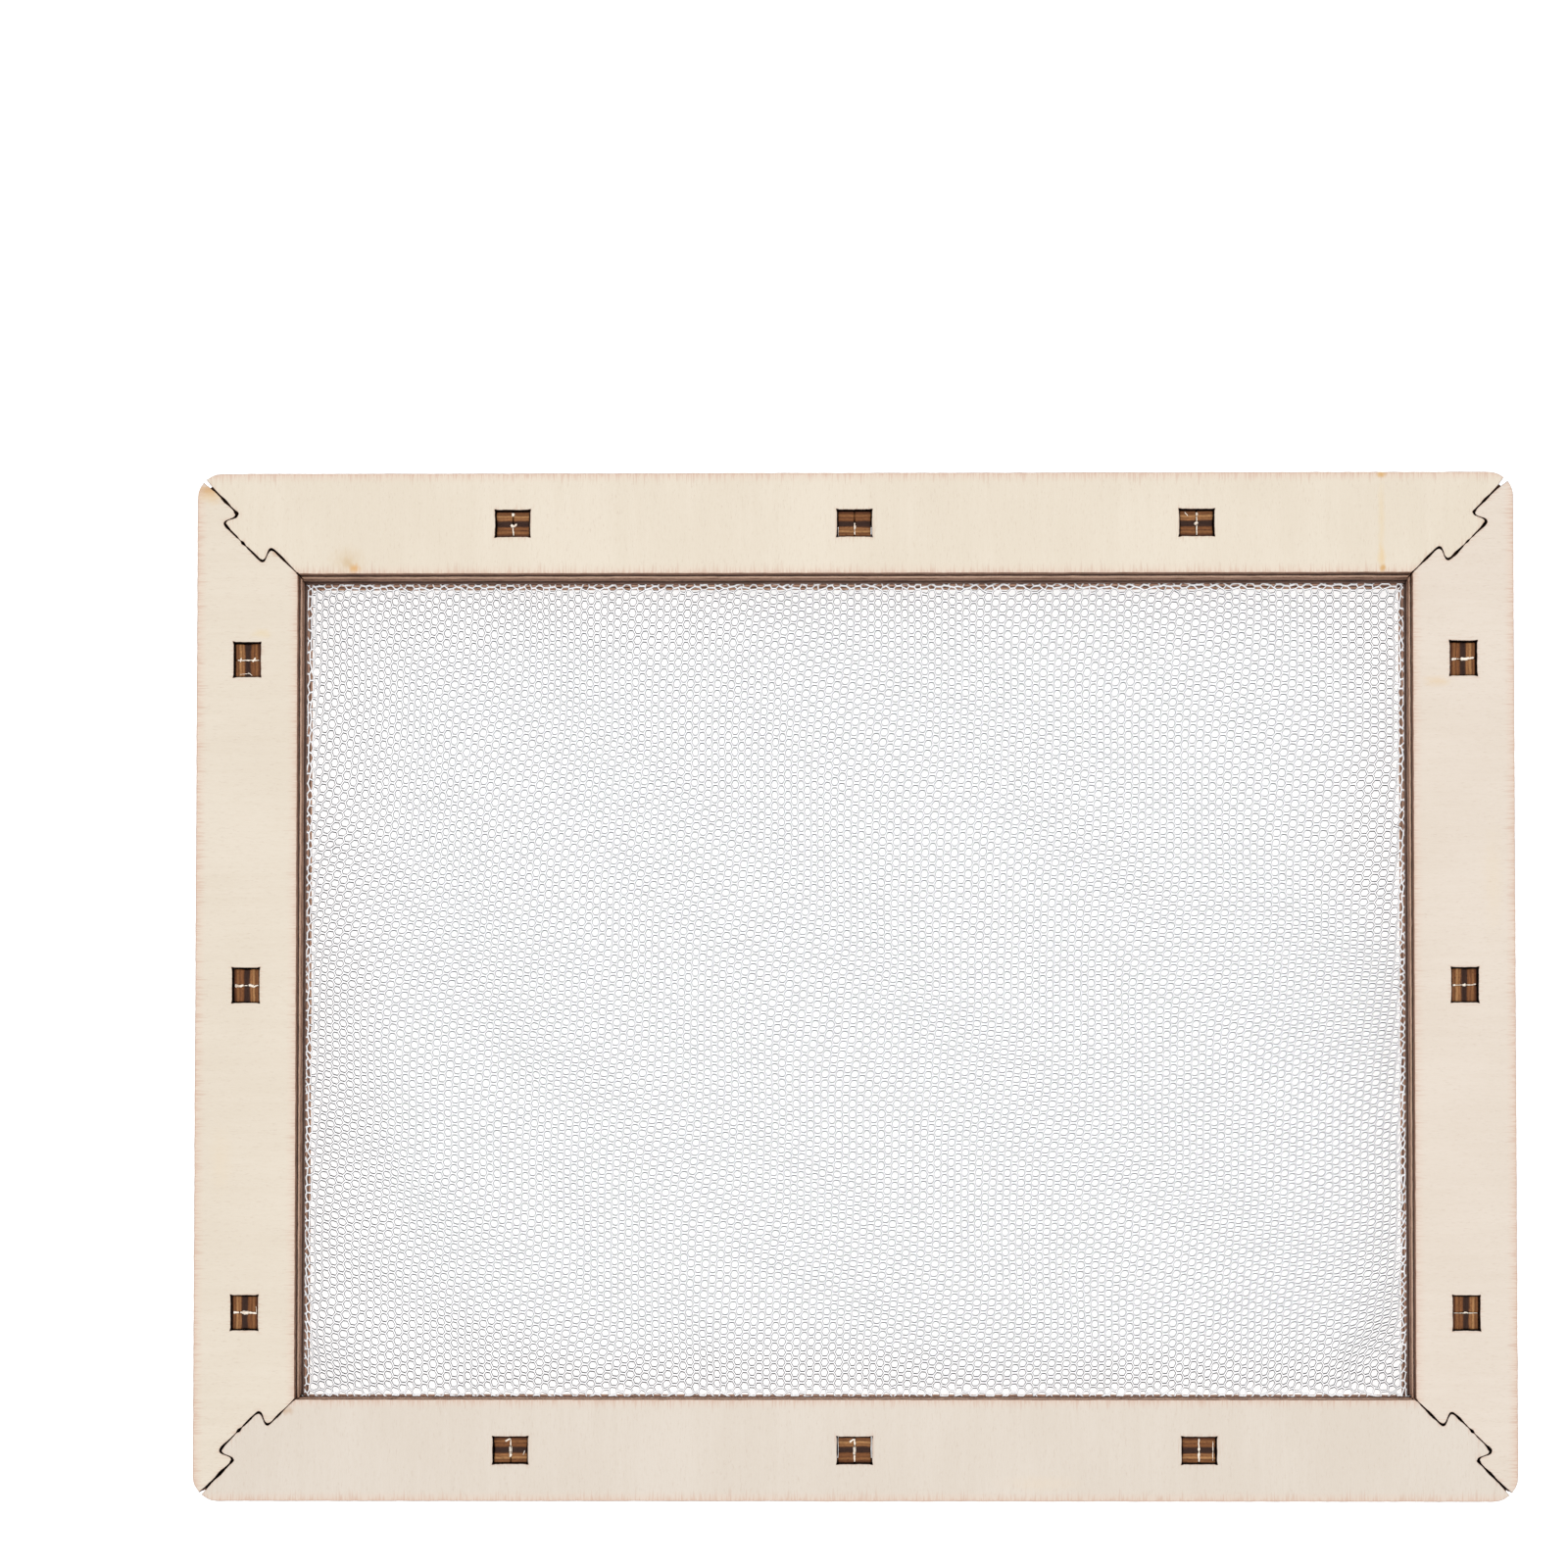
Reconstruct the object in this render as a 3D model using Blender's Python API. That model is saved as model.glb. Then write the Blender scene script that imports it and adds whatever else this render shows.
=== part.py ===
"""A shallow screened cage frame: three layers of plywood rails with a net clamped between them.

The frame lies on its back in the XY plane, its front face up (+Z), its long sides along X.
Each layer is four rails.  The front and back layers meet at 45 degree mitres with a dovetail key,
and the middle layer's stepped joints are staggered against them.  Twelve split pegs, cut from the
same plywood, run through all three layers.  The origin is at the middle of the back face.
"""
import math

import bmesh
import bpy
from mathutils import Matrix, Vector

# ---- driving dimensions, in metres ----
LENGTH = 0.150                # outside, along X
WIDTH = 0.117                 # outside, along Y
HEIGHT = 0.009                # three plywood sheets, with the net between two of them
RAIL = 0.0115                 # width of a rail
NET = 0.0002                  # thickness of the net
GLUE_LINE = 0.0001            # between the front and middle sheets, and on each side of the net
KERF = 0.0002                 # the laser's cut between two rails
CORNER_RADIUS = 0.0028        # of the frame's outer corners

# Pegs and their windows: three to a rail
WINDOW_LONG = 0.0041          # along the rail
WINDOW_SHORT = 0.0032         # across the rail
WINDOW_INSET = RAIL / 2        # from the outer edge to the window's middle
PITCH_ALONG_X = 0.0390        # between the windows of a top or bottom rail
PITCH_ALONG_Y = 0.0372        # between the windows of a left or right rail
PEG_CLEARANCE = 0.0002
PEG_RECESS_FRONT = 0.0005     # of the peg's end under the front face
PEG_RECESS_BACK = 0.0004
PEG_SLIT = 0.0003
PEG_SLIT_DEPTH = 0.0050
PEG_LEAD = 0.0004             # chamfer on the end that goes in first

# The dovetail key of a mitre, measured along the mitre from the frame's outer corner
KEY_NECK_FROM, KEY_NECK_TO = 0.00685, 0.01175
KEY_HEAD_FROM, KEY_HEAD_TO = 0.00585, 0.01270
KEY_HEIGHT = 0.00195
KEY_ROUNDING = 0.00032
NOTCH_HALF = 0.00032          # half the V left at the outer tip of a mitre
NOTCH_DEPTH = 0.0013

# The stepped joint of the middle layer, measured from the outer corner
STEP_WIDTH = 0.0078           # what the long rail keeps of the short side
STEP_LENGTH = 0.0058          # and how far that goes in from the short side

NET_OVERHANG = 0.0008         # of the net's cut edge past the plywood

# ---- worked out from them ----
SHEET = (HEIGHT - NET - 3 * GLUE_LINE) / 3
BACK_TOP = SHEET
NET_BOTTOM = BACK_TOP + GLUE_LINE
MIDDLE_BOTTOM = NET_BOTTOM + NET + GLUE_LINE
FRONT_BOTTOM = MIDDLE_BOTTOM + SHEET + GLUE_LINE
HALF_LENGTH, HALF_WIDTH = LENGTH / 2, WIDTH / 2

ARC_STEPS = 6                 # facets of a quarter of an outer corner
KEY_STEPS = 3                 # facets of a rounded corner of the key

# Colours: (base colour, roughness)
PLY_FACE = ((0.79, 0.70, 0.58), 0.62)
PLY_MIDDLE = ((0.16, 0.085, 0.05), 0.75)
PLY_PEG = ((0.22, 0.12, 0.065), 0.70)
TULLE = ((0.86, 0.85, 0.88), 0.55)


def clear_scene():
    for item in list(bpy.data.objects):
        bpy.data.objects.remove(item, do_unlink=True)


def material(name, colour, roughness):
    made = bpy.data.materials.new(name)
    made.use_nodes = True
    shader = made.node_tree.nodes["Principled BSDF"]
    shader.inputs["Base Color"].default_value = (*colour, 1.0)
    shader.inputs["Roughness"].default_value = roughness
    shader.inputs["Metallic"].default_value = 0.0
    return made


# ---- plane geometry ----

def arc(centre, radius, start, end, steps):
    """Points on an arc, from angle start to angle end, in degrees."""
    angles = [math.radians(start + (end - start) * i / steps) for i in range(steps + 1)]
    return [Vector((centre[0] + radius * math.cos(a), centre[1] + radius * math.sin(a)))
            for a in angles]


def shifted(path, distance):
    """An open path moved sideways by distance, to its left, with mitred corners."""
    sides = []
    for a, b in zip(path, path[1:]):
        along = (b - a).normalized()
        sides.append(Vector((-along.y, along.x)))
    moved = [path[0] + sides[0] * distance]
    for point, before, after in zip(path[1:-1], sides, sides[1:]):
        middle = (before + after).normalized()
        moved.append(point + middle * (distance / middle.dot(before)))
    moved.append(path[-1] + sides[-1] * distance)
    return moved


def rounded(path, radius, steps):
    """An open path whose inner corners are rounded."""
    made = [path[0]]
    for before, point, after in zip(path, path[1:], path[2:]):
        to_before = (before - point).normalized()
        to_after = (after - point).normalized()
        half = math.acos(max(-1.0, min(1.0, to_before.dot(to_after)))) / 2
        reach = radius / math.tan(half)
        middle = point + (to_before + to_after).normalized() * (radius / math.sin(half))
        first = point + to_before * reach - middle
        last = point + to_after * reach - middle
        turn = first.angle_signed(last)
        made += [middle + Matrix.Rotation(-turn * i / steps, 2) @ first for i in range(steps + 1)]
    made.append(path[-1])
    return made


def mitre_to_plane(along, across):
    """A point of the mitre at the +X +Y corner: along it from the corner, and towards the side rail."""
    inwards = Vector((-1, -1)).normalized()
    sideways = Vector((1, -1)).normalized()
    return Vector((HALF_LENGTH, HALF_WIDTH)) + inwards * along + sideways * across


def keyed_seam(side):
    """The mitre's cut edge on the long rail (side -1) or on the side rail (side +1).

    It runs from the outer tip to the opening's corner, half a kerf to its side of the mitre,
    and opens into a V at the tip.
    """
    tip = CORNER_RADIUS * (math.sqrt(2) - 1)
    middle = [
        Vector((tip + NOTCH_DEPTH, 0)),
        Vector((KEY_NECK_FROM, 0)),
        Vector((KEY_HEAD_FROM, KEY_HEIGHT)),
        Vector((KEY_HEAD_TO, KEY_HEIGHT)),
        Vector((KEY_NECK_TO, 0)),
        Vector((RAIL * math.sqrt(2), 0)),
    ]
    edge = rounded(shifted(middle, side * KERF / 2), KEY_ROUNDING, KEY_STEPS)
    edge.insert(0, Vector((tip + NOTCH_HALF / 4, side * NOTCH_HALF)))
    return [mitre_to_plane(p.x, p.y) for p in edge]


def flipped(points, x_sign, y_sign):
    return [Vector((p.x * x_sign, p.y * y_sign)) for p in points]


def keyed_long_rail():
    """Outline of a top rail with keyed mitres."""
    centre = (HALF_LENGTH - CORNER_RADIUS, HALF_WIDTH - CORNER_RADIUS)
    tip_angle = math.degrees(NOTCH_HALF / CORNER_RADIUS)
    right = arc(centre, CORNER_RADIUS, 90, 45 + tip_angle, ARC_STEPS // 2) + keyed_seam(-1)
    right[-1] = Vector((HALF_LENGTH - RAIL - KERF / 2, HALF_WIDTH - RAIL))
    return right + flipped(reversed(right), -1, 1)


def keyed_side_rail():
    """Outline of a right rail with keyed mitres."""
    centre = (HALF_LENGTH - CORNER_RADIUS, HALF_WIDTH - CORNER_RADIUS)
    tip_angle = math.degrees(NOTCH_HALF / CORNER_RADIUS)
    upper = arc(centre, CORNER_RADIUS, 0, 45 - tip_angle, ARC_STEPS // 2) + keyed_seam(1)
    upper[-1] = Vector((HALF_LENGTH - RAIL, HALF_WIDTH - RAIL - KERF / 2))
    return upper + flipped(reversed(upper), 1, -1)


def stepped_long_rail():
    """Outline of a top rail of the middle layer, which keeps the outer corners."""
    centre = (HALF_LENGTH - CORNER_RADIUS, HALF_WIDTH - CORNER_RADIUS)
    right = arc(centre, CORNER_RADIUS, 90, 0, ARC_STEPS)
    right += [
        Vector((HALF_LENGTH, HALF_WIDTH - STEP_WIDTH)),
        Vector((HALF_LENGTH - STEP_LENGTH, HALF_WIDTH - STEP_WIDTH)),
        Vector((HALF_LENGTH - STEP_LENGTH, HALF_WIDTH - RAIL)),
    ]
    return right + flipped(reversed(right), -1, 1)


def stepped_side_rail():
    """Outline of a right rail of the middle layer, with a tongue on its outer side."""
    upper = [
        Vector((HALF_LENGTH, HALF_WIDTH - STEP_WIDTH - KERF)),
        Vector((HALF_LENGTH - STEP_LENGTH + KERF, HALF_WIDTH - STEP_WIDTH - KERF)),
        Vector((HALF_LENGTH - STEP_LENGTH + KERF, HALF_WIDTH - RAIL - KERF)),
        Vector((HALF_LENGTH - RAIL, HALF_WIDTH - RAIL - KERF)),
    ]
    return upper + flipped(reversed(upper), 1, -1)


def rectangle(centre, size_x, size_y):
    x, y = size_x / 2, size_y / 2
    corners = ((-x, -y), (x, -y), (x, y), (-x, y))
    return [Vector((centre[0] + a, centre[1] + b)) for a, b in corners]


def windows_of_top_rail():
    y = HALF_WIDTH - WINDOW_INSET
    return [rectangle((i * PITCH_ALONG_X, y), WINDOW_LONG, WINDOW_SHORT) for i in (-1, 0, 1)]


def windows_of_right_rail():
    x = HALF_LENGTH - WINDOW_INSET
    return [rectangle((x, i * PITCH_ALONG_Y), WINDOW_SHORT, WINDOW_LONG) for i in (1, 0, -1)]


# ---- solids ----

def plate(name, outline, holes, bottom, thickness, finish):
    """A flat solid from an outline with holes, lying between bottom and bottom + thickness."""
    mesh = bmesh.new()
    edges = []
    for loop in [outline] + holes:
        corners = [mesh.verts.new((p.x, p.y, bottom)) for p in loop]
        edges += [mesh.edges.new((a, b)) for a, b in zip(corners, corners[1:] + corners[:1])]
    filled = bmesh.ops.triangle_fill(mesh, use_beauty=True, use_dissolve=False, edges=edges)
    faces = [item for item in filled["geom"] if isinstance(item, bmesh.types.BMFace)]
    raised = bmesh.ops.extrude_face_region(mesh, geom=faces, use_keep_orig=True)["geom"]
    top = [item for item in raised if isinstance(item, bmesh.types.BMVert)]
    bmesh.ops.translate(mesh, verts=top, vec=(0, 0, thickness))
    bmesh.ops.recalc_face_normals(mesh, faces=mesh.faces[:])
    data = bpy.data.meshes.new(name)
    mesh.to_mesh(data)
    mesh.free()
    data.materials.append(finish)
    made = bpy.data.objects.new(name, data)
    bpy.context.scene.collection.objects.link(made)
    return made


def layer(layer_name, long_outline, side_outline, bottom, look):
    """The four rails of one sheet; the bottom and left rails mirror the top and right ones."""
    top_windows, right_windows = windows_of_top_rail(), windows_of_right_rail()
    sides = {
        "top": (long_outline, top_windows, 1, 1),
        "bottom": (long_outline, top_windows, 1, -1),
        "right": (side_outline, right_windows, 1, 1),
        "left": (side_outline, right_windows, -1, 1),
    }
    for side, (outline, holes, x_sign, y_sign) in sides.items():
        rail_outline = flipped(outline, x_sign, y_sign)
        rail_holes = [flipped(hole, x_sign, y_sign) for hole in holes]
        name = f"{layer_name}_rail_{side}"
        plate(name, rail_outline, rail_holes, bottom, SHEET, material(name, *look))


def net_panel():
    """The net, whose cut edge stands a little out of the seam all round."""
    outline = rectangle((0, 0), LENGTH + 2 * NET_OVERHANG, WIDTH + 2 * NET_OVERHANG)
    holes = []
    for sign in (1, -1):
        holes += [flipped(hole, 1, sign) for hole in windows_of_top_rail()]
        holes += [flipped(hole, sign, 1) for hole in windows_of_right_rail()]
    plate("net_panel", outline, holes, NET_BOTTOM, NET, material("net_panel", *TULLE))


def peg_outline():
    """A peg's face: its width by its height, slit from the front end."""
    half = WINDOW_LONG / 2 - PEG_CLEARANCE
    slit = PEG_SLIT / 2
    low, high = PEG_RECESS_BACK, HEIGHT - PEG_RECESS_FRONT
    right = [
        Vector((slit, high - PEG_SLIT_DEPTH)),
        Vector((slit, high)),
        Vector((half, high)),
        Vector((half, low + PEG_LEAD)),
        Vector((half - PEG_LEAD, low)),
    ]
    return right + flipped(reversed(right), -1, 1)


def peg(name, centre, along_y):
    """A split peg standing in its window; its plies run along the rail."""
    made = plate(name, peg_outline(), [], -SHEET / 2, SHEET, material(name, *PLY_PEG))
    upright = Matrix.Rotation(math.radians(90), 4, "X")
    turned = Matrix.Rotation(math.radians(90 if along_y else 0), 4, "Z")
    made.data.transform(turned @ upright)
    made.location = (centre[0], centre[1], 0)
    return made


def pegs():
    y = HALF_WIDTH - WINDOW_INSET
    x = HALF_LENGTH - WINDOW_INSET
    for place, i in (("left", -1), ("middle", 0), ("right", 1)):
        peg(f"peg_top_{place}", (i * PITCH_ALONG_X, y), False)
        peg(f"peg_bottom_{place}", (i * PITCH_ALONG_X, -y), False)
    for place, i in (("upper", 1), ("middle", 0), ("lower", -1)):
        peg(f"peg_left_{place}", (-x, i * PITCH_ALONG_Y), True)
        peg(f"peg_right_{place}", (x, i * PITCH_ALONG_Y), True)


def main():
    clear_scene()
    layer("back", keyed_long_rail(), keyed_side_rail(), 0.0, PLY_FACE)
    layer("middle", stepped_long_rail(), stepped_side_rail(), MIDDLE_BOTTOM, PLY_MIDDLE)
    layer("front", keyed_long_rail(), keyed_side_rail(), FRONT_BOTTOM, PLY_FACE)
    net_panel()
    pegs()


main()
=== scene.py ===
"""Looks of a screened cage frame: three sheets of laser-cut plywood, split pegs and a hexagonal net.

The frame lies on its back on a pale floor.  Lengths inside the functions are in millimetres, and
every finished mesh is in metres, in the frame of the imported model.
"""

import math

import bpy
import numpy as np
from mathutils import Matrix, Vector, noise
from mathutils.geometry import delaunay_2d_cdt


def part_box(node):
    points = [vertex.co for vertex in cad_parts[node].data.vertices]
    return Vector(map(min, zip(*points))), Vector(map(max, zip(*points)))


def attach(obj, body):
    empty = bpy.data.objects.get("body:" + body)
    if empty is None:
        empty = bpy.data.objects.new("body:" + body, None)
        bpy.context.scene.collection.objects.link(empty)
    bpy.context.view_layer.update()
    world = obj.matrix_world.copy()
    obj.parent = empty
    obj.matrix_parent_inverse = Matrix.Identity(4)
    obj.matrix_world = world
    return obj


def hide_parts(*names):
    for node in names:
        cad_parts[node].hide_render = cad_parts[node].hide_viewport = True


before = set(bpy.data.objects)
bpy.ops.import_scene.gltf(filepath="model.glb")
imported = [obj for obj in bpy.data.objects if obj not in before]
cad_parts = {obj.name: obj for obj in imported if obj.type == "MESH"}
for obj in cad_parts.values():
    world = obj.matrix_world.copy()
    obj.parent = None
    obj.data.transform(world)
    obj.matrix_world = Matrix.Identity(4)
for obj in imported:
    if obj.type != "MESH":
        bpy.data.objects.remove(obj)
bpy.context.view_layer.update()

MM = 0.001
SEED = 4203
rng = np.random.default_rng(SEED)

SIDES = ("top", "bottom", "left", "right")
LAYERS = ("front", "middle", "back")
PEGS = [f"peg_{side}_{place}" for side in SIDES[:2] for place in ("left", "middle", "right")]
PEGS += [f"peg_{side}_{place}" for side in SIDES[2:] for place in ("upper", "middle", "lower")]

# ---- sizes taken from the frame, in millimetres ----


def box_mm(node):
    low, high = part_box(node)
    return np.array(low) / MM, np.array(high) / MM


HALF_X, HALF_Y = box_mm("middle_rail_top")[1][:2]     # half the plywood's length and width
HALF = np.array((HALF_X, HALF_Y))
INNER_X = -box_mm("middle_rail_left")[1][0]           # half the opening's length
RAIL = HALF_X - INNER_X                               # a rail's width
CORNER_RADIUS = 2.8                                   # of the plywood's outer corners
NET_LOW, NET_HIGH = box_mm("net_panel")
NET_Z = (NET_LOW[2] + NET_HIGH[2]) / 2


# ---- outlines ----

def outlines(node):
    """The outlines of a flat node's top face: the outer one first, material always on the left."""
    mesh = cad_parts[node].data
    place = [(round(v.co.x / MM, 3), round(v.co.y / MM, 3)) for v in mesh.vertices]
    sides = set()
    for polygon in mesh.polygons:
        if polygon.normal.z < 0.9:
            continue
        corners = [place[i] for i in polygon.vertices]
        for a, b in zip(corners, corners[1:] + corners[:1]):
            if (b, a) in sides:
                sides.remove((b, a))
            else:
                sides.add((a, b))
    following = dict(sorted(sides))
    loops = []
    while following:
        point, loop = next(iter(following)), []
        while point in following:
            loop.append(point)
            point = following.pop(point)
        loops.append(np.array(loop))
    return sorted(loops, key=lambda loop: -np.ptp(loop, 0).sum())


def subdivided(loop, step):
    """A closed loop with points at most step apart, its own corners among them."""
    points = []
    for a, b in zip(loop, np.roll(loop, -1, 0)):
        count = max(1, math.ceil(np.linalg.norm(b - a) / step))
        points += [a + (b - a) * i / count for i in range(count)]
    return np.array(points)


def outward(points):
    """Mitred unit normals of a closed loop, out of the material."""
    def side(vectors):
        lengths = np.maximum(np.linalg.norm(vectors, axis=1, keepdims=True), 1e-9)
        return np.stack((vectors[:, 1], -vectors[:, 0]), 1) / lengths
    before = side(points - np.roll(points, 1, 0))
    after = side(np.roll(points, -1, 0) - points)
    middle = before + after
    middle /= np.maximum(np.linalg.norm(middle, axis=1, keepdims=True), 1e-9)
    return middle / np.maximum((middle * before).sum(1, keepdims=True), 0.6)


def nearest(points, others):
    """Each point's distance to the nearest of the others."""
    found = np.full(len(points), 1e9)
    for start in range(0, len(points), 500):
        part = points[start:start + 500, None] - others[None]
        found[start:start + 500] = np.sqrt((part ** 2).sum(2)).min(1)
    return found


def inside(points, loops):
    """Which points lie in the material between closed loops, by counting crossings."""
    crossings = np.zeros(len(points), int)
    for loop in loops:
        a, b = loop, np.roll(loop, -1, 0)
        for (ax, ay), (bx, by) in zip(a, b):
            spans = (ay > points[:, 1]) != (by > points[:, 1])
            if ay != by:
                x = ax + (bx - ax) * (points[:, 1] - ay) / (by - ay)
                crossings += spans & (points[:, 0] < x)
    return crossings % 2 == 1


def wave(x, y, z=0.0):
    """Smooth noise between about -1 and 1."""
    return noise.noise(Vector((x, y, z)))


def placed(name, data):
    """A new object in the scene."""
    made = bpy.data.objects.new(name, data)
    bpy.context.scene.collection.objects.link(made)
    return made


def smoothstep(x):
    x = np.clip(x, 0, 1)
    return x * x * (3 - 2 * x)


# ---- rough plates ----

# Levels through a plywood sheet: (share of the thickness, how far the cut edge is burnt back)
SHEET_LEVELS = (
    (0.0, 0.025), (0.015, 0.01), (0.06, 0.0), (0.16, 0.0), (0.26, 0.01), (0.325, 0.02), (0.345, 0.055),
    (0.37, 0.02), (0.44, 0.03), (0.5, 0.04), (0.56, 0.03), (0.63, 0.02), (0.655, 0.055), (0.675, 0.02),
    (0.74, 0.01), (0.84, 0.0), (0.94, 0.0), (0.985, 0.01), (1.0, 0.025),
)
# Rings of points inside a face's edge: (distance from the edge, one point in how many)
FACE_RINGS = ((0.10, 1), (0.24, 2), (0.5, 3), (1.0, 5))
FACE_GRID = 2.3        # between the points inside the rings
GRID_JITTER = 0.3
GRID_MARGIN = 1.3      # how far these stay from the face's edge


def face_points(loops):
    """Points inside a face, close together near its edges."""
    boundary = np.vstack(loops)
    found = []
    for reach, stride in FACE_RINGS:
        for loop in loops:
            ring = (loop - outward(loop) * reach)[::stride]
            found.append(ring[nearest(ring, boundary) > 0.9 * reach])
    lines = [np.arange(low, high, FACE_GRID) for low, high in zip(boundary.min(0), boundary.max(0))]
    grid = np.stack(np.meshgrid(*lines), -1).reshape(-1, 2)
    grid = grid + rng.uniform(-GRID_JITTER, GRID_JITTER, grid.shape)
    grid = grid[inside(grid, loops)]
    found.append(grid[nearest(grid, boundary) > GRID_MARGIN])
    return np.vstack(found)


def triangulated(loops, extra):
    """Triangles between the loops, and the points of a face: those of the loops, then the others."""
    points = np.vstack(loops + [extra])
    edges, start = [], 0
    for loop in loops:
        count = len(loop)
        edges += [(start + i, start + (i + 1) % count) for i in range(count)]
        start += count
    co, _, faces, origin, _, _ = delaunay_2d_cdt([Vector(p) for p in points], edges, [], 1, 1e-5)
    known = [ids[0] if ids else None for ids in origin]
    added = []
    for i, ids in enumerate(known):
        if ids is None:
            known[i] = len(points) + len(added)
            added.append(tuple(co[i]))
    if added:
        points = np.vstack([points, np.array(added)])
    triangles = np.array([[known[i] for i in face] for face in faces])
    centres = points[triangles].mean(1)
    return points, triangles[inside(centres, loops)]


class Plate:
    """A flat piece with rough cut edges, its outline in XY and its thickness along Z.

    Its finishes are, in order, for the faces, the cut edges and the sooty stretches of these.
    """

    def __init__(self, loops, bottom, thickness, levels=SHEET_LEVELS, roughness=0.03, seed=0.0, sooty=None):
        self.points, self.faces, self.finish = [], [], []
        self.sooty = np.zeros(sum(len(loop) for loop in loops), bool) if sooty is None else sooty
        self.edge, self.ply = [], []
        self.levels = []
        for share, burnt in levels:
            z = bottom + thickness * share
            rings = [self.cut_ring(loop, z, burnt, roughness, seed) for loop in loops]
            self.levels.append((z, share, rings))
        self.walls()

    def cut_ring(self, loop, z, burnt, roughness, seed):
        normals = outward(loop)
        offsets = []
        for x, y in loop:
            coarse = wave(x * 0.9 + seed, y * 0.9, z * 1.1)
            fine = wave(x * 4 + seed, y * 4, z * 5)
            offsets.append(roughness * (coarse + 0.6 * fine) - burnt)
        return loop + normals * np.array(offsets)[:, None]

    def add(self, points, z, share, edge):
        start = len(self.points)
        self.points += [(x, y, z) for x, y in points]
        self.ply += [share] * len(points)
        self.edge += list(edge)
        return start

    def walls(self):
        counts = [len(loop) for loop in self.levels[0][2]]
        self.starts = []
        for z, share, rings in self.levels:
            self.starts.append(self.add(np.vstack(rings), z, share, np.zeros(sum(counts))))
        for low, high in zip(self.starts, self.starts[1:]):
            start = 0
            for count in counts:
                for i in range(start, start + count):
                    j = start + (i - start + 1) % count
                    self.faces.append((low + i, low + j, high + j, high + i))
                    self.finish.append(2 if self.sooty[i] else 1)
                start += count

    def cap(self, level, detailed, relief=0.0):
        """Closes the plate at its lowest (0) or highest (-1) level."""
        z, share, rings = self.levels[level]
        extra = face_points(rings) if detailed else np.zeros((0, 2))
        points, triangles = triangulated(rings, extra)
        rim = sum(len(loop) for loop in rings)
        inner = points[rim:]
        reach = nearest(inner, np.vstack(rings)) if len(inner) else np.zeros(0)
        start = self.add(inner, z, share, reach)
        if relief:
            for i, (x, y) in enumerate(inner):
                lift = relief * wave(x * 0.35, y * 0.35, z) * min(1.0, reach[i])
                self.points[start + i] = (x, y, z - abs(lift))
        place = np.concatenate((np.arange(rim) + self.starts[level], np.arange(len(inner)) + start))
        for a, b, c in place[triangles]:
            self.faces.append((a, b, c) if level else (c, b, a))
            self.finish.append(0)

    def piece(self, name, finishes, place=None):
        """The finished object; place moves its points from the plate's frame to the model's."""
        points = np.array(self.points) * MM
        if place is not None:
            points = place(points)
        mesh = bpy.data.meshes.new(name)
        mesh.from_pydata(points.tolist(), [], self.faces)
        for finish in finishes:
            mesh.materials.append(finish)
        mesh.polygons.foreach_set("material_index", self.finish)
        mesh.polygons.foreach_set("use_smooth", [index > 0 for index in self.finish])
        for label, values in (("edge", self.edge), ("ply", self.ply)):
            attribute = mesh.attributes.new(label, "FLOAT", "POINT")
            attribute.data.foreach_set("value", np.array(values, np.float32))
        mesh.validate()
        made = placed(name, mesh)
        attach(made, "root")
        return made


# ---- materials ----

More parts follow.
